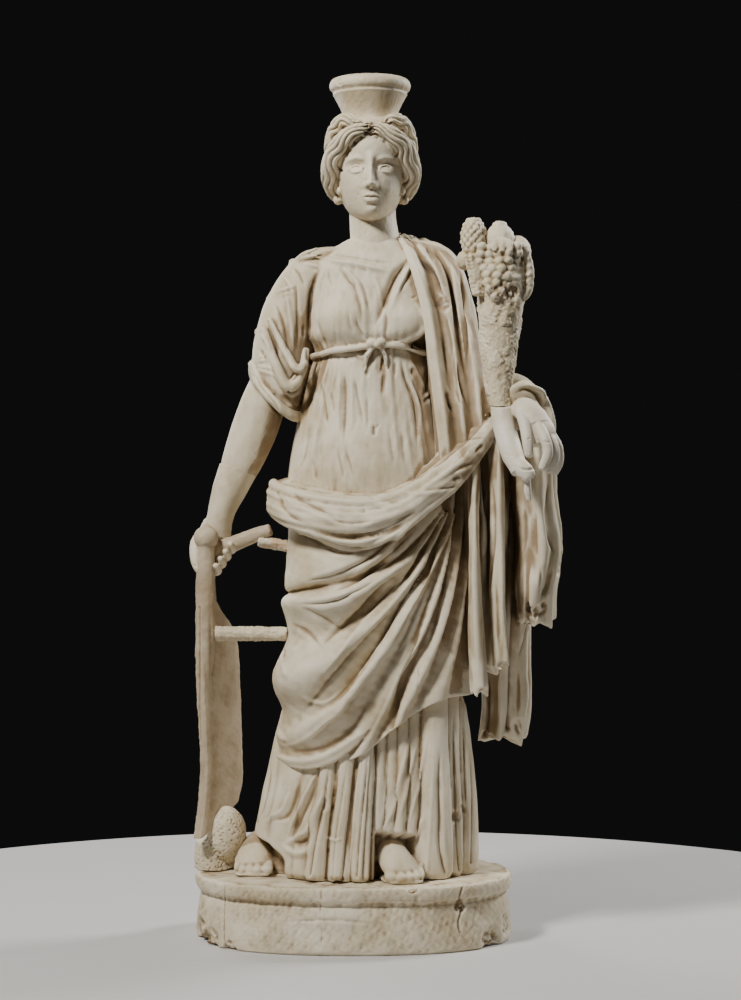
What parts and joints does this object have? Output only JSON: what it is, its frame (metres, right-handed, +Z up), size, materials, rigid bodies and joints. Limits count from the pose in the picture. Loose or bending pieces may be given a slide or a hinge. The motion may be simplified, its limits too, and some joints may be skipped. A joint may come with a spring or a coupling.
{
  "type": "classical marble statue",
  "caption": "Standing draped goddess in marble with a basket crown, a rudder on a globe at one hand, a horn of plenty at the other, on a moulded oval plinth.",
  "frame": {"origin": "centre of the plinth's flat underside, on the floor it stands on", "axes": "+Z up, the figure faces -Y, and +X is the figure's left hand side (the viewer's right)"},
  "size_m": [0.791, 0.4969, 1.798],
  "materials": {
    "aged_marble": "weathered fine-grained marble, cream with brown patina in the hollows",
    "restored_marble": "whiter, cleaner marble of the old repairs"
  },
  "bodies": {
    "root": {"plinth": "aged_marble", "figure": "aged_marble", "head": "aged_marble", "right_forearm": "restored_marble", "rudder": "aged_marble", "upper_strut": "aged_marble", "lower_strut": "aged_marble", "globe": "aged_marble", "cornucopia": "aged_marble", "left_hand": "restored_marble"}
  },
  "joints": []
}
